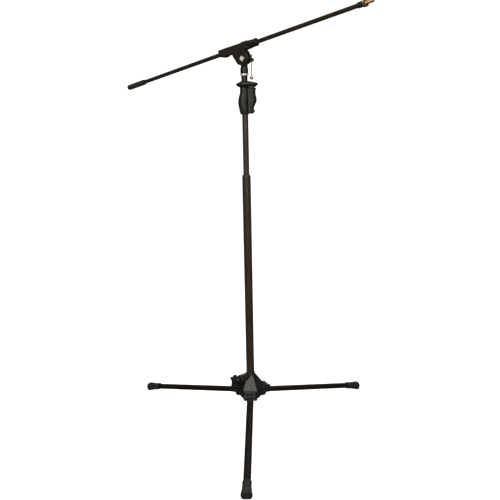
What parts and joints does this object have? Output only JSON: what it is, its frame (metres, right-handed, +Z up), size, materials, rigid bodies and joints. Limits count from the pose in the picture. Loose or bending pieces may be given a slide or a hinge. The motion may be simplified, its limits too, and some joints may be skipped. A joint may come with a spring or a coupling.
{
  "type": "boom microphone stand",
  "caption": "Folding tripod microphone stand with a one-hand grip clutch and a tilting, sliding counterweighted boom.",
  "frame": {"origin": "centre of the flat underside of the end plug at the bottom of the column", "axes": "+Z up the column; +X to the right and +Y away from the viewer, with the front leg towards -Y; the floor is 70 mm below the origin"},
  "size_m": [0.7665, 0.7172, 1.2116],
  "materials": {
    "tube_paint": "satin",
    "hub_paint": "satin",
    "black_plastic": "matte",
    "grip_plastic": "matte",
    "rubber": "matte",
    "nickel": "polished",
    "bright_steel": "polished",
    "steel": "brushed",
    "black_steel": "satin",
    "brass": "satin"
  },
  "bodies": {
    "base": {"hub_casting": "hub_paint", "leg_pin_front": "steel", "leg_pin_right": "steel", "leg_pin_left": "steel"},
    "base_knob": {"base_knob": "black_plastic", "base_knob_screw": "steel"},
    "leg_front": {"leg_tube_front": "tube_paint", "leg_knuckle_front": "black_plastic", "rubber_foot_front": "rubber"},
    "leg_right": {"leg_tube_right": "tube_paint", "leg_knuckle_right": "black_plastic", "rubber_foot_right": "rubber"},
    "leg_left": {"leg_tube_left": "tube_paint", "leg_knuckle_left": "black_plastic", "rubber_foot_left": "rubber"},
    "lower_column": {"column_end_plug": "black_plastic", "lower_tube": "tube_paint", "guide_bush": "black_plastic"},
    "upper_column": {"inner_tube": "tube_paint", "clutch_collet": "black_plastic", "grip_shell_near": "grip_plastic", "grip_shell_far": "grip_plastic", "grip_flange": "grip_plastic", "neck_stud": "black_steel", "trigger_pin": "steel", "trigger_spring": "steel", "grip_screw_upper": "steel", "grip_screw_lower": "steel"},
    "pull_rod": {"pull_rod": "steel", "clutch_cone": "steel", "clutch_nut": "steel"},
    "trigger": {"trigger": "grip_plastic"},
    "lock_ring": {"lock_ring": "bright_steel"},
    "swivel": {"coupler": "black_steel", "tilt_tongue": "hub_paint"},
    "boom_head": {"boom_block": "hub_paint", "tilt_bolt": "nickel", "friction_washer_near": "rubber", "friction_washer_far": "rubber"},
    "collet_nut": {"collet_nut": "black_plastic"},
    "boom_collet": {"boom_collet": "black_plastic"},
    "boom": {"boom_tube": "tube_paint", "counterweight_sleeve": "rubber", "counterweight_slug": "steel", "tip_bush": "black_plastic", "tip_stud": "brass"},
    "tip_lock_nut": {"tip_lock_nut": "brass"},
    "clamp_screw": {"clamp_screw": "steel"},
    "slide_bar": {"slide_bar": "nickel", "slide_bar_ball_top": "nickel", "slide_bar_ball_low": "nickel"}
  },
  "joints": [
    {"name": "leg_fold_front", "type": "hinge", "parent": "base", "child": "leg_front", "pos_m": [-0.00187, -0.05357, 0.0271], "axis": [0.9994, -0.0349, 0], "range_deg": [0, 75]},
    {"name": "leg_fold_right", "type": "hinge", "parent": "base", "child": "leg_right", "pos_m": [0.04733, 0.02516, 0.0271], "axis": [-0.4695, 0.8829, 0], "range_deg": [0, 75]},
    {"name": "leg_fold_left", "type": "hinge", "parent": "base", "child": "leg_left", "pos_m": [-0.04546, 0.0284, 0.0271], "axis": [-0.5299, -0.848, 0], "range_deg": [0, 75]},
    {"name": "base_knob_turn", "type": "hinge", "parent": "base", "child": "base_knob", "pos_m": [0, 0, 0.076], "axis": [-0.766, -0.6428, 0], "range_deg": [-180, 180]},
    {"name": "base_slide", "type": "slide", "parent": "base", "child": "lower_column", "axis": [0, 0, 1], "range_m": [-0.38, 0]},
    {"name": "height_slide", "type": "slide", "parent": "lower_column", "child": "upper_column", "axis": [0, 0, 1], "range_m": [-0.165, 0.4]},
    {"name": "trigger_squeeze", "type": "hinge", "parent": "upper_column", "child": "trigger", "pos_m": [0.015, 0, 0.8885], "axis": [0, -1, 0], "range_deg": [0, 4]},
    {"name": "pull_rod_slide", "type": "slide", "parent": "upper_column", "child": "pull_rod", "axis": [0, 0, -1], "range_m": [0, 0.0013], "stiffness_N_per_m": 900, "springref_m": -0.004, "deforming": ["trigger_spring"]},
    {"name": "lock_ring_turn", "type": "hinge", "parent": "upper_column", "child": "lock_ring", "pos_m": [0, 0, 0.9857], "axis": [0, 0, 1], "range_deg": [-180, 180]},
    {"name": "head_swivel", "type": "hinge", "parent": "upper_column", "child": "swivel", "pos_m": [0, 0, 0.998], "axis": [0, 0, 1], "range_deg": [-180, 180]},
    {"name": "boom_tilt", "type": "hinge", "parent": "swivel", "child": "boom_head", "pos_m": [0, 0, 1.0285], "axis": [0.5997, 0.8002, 0], "range_deg": [-52, 74]},
    {"name": "collet_nut_turn", "type": "hinge", "parent": "boom_head", "child": "collet_nut", "pos_m": [-0.00485, 0.00363, 1.06033], "axis": [0.7861, -0.5892, 0.1869], "range_deg": [-180, 180]},
    {"name": "boom_roll", "type": "hinge", "parent": "boom_head", "child": "boom_collet", "pos_m": [-0.00485, 0.00363, 1.06033], "axis": [0.7861, -0.5892, 0.1869], "range_deg": [-180, 180]},
    {"name": "boom_slide", "type": "slide", "parent": "boom_collet", "child": "boom", "axis": [0.7861, -0.5892, 0.1869], "range_m": [-0.28, 0.28]},
    {"name": "tip_lock_nut_turn", "type": "hinge", "parent": "boom", "child": "tip_lock_nut", "pos_m": [0.31337, -0.23486, 1.13597], "axis": [0.7861, -0.5892, 0.1869], "range_deg": [-180, 180]},
    {"name": "clamp_screw_turn", "type": "hinge", "parent": "boom_head", "child": "clamp_screw", "pos_m": [0, 0, 1.0285], "axis": [0.5997, 0.8002, 0], "range_deg": [-180, 180]},
    {"name": "slide_bar_slide", "type": "slide", "parent": "clamp_screw", "child": "slide_bar", "axis": [0, 0, 1], "range_m": [0, 0.034]}
  ],
  "couplings": [
    {"joint": "leg_fold_right", "follows": "leg_fold_front", "ratio": 1},
    {"joint": "leg_fold_left", "follows": "leg_fold_front", "ratio": 1},
    {"joint": "trigger_squeeze", "follows": "pull_rod_slide", "rad_per_m": 53.5}
  ]
}
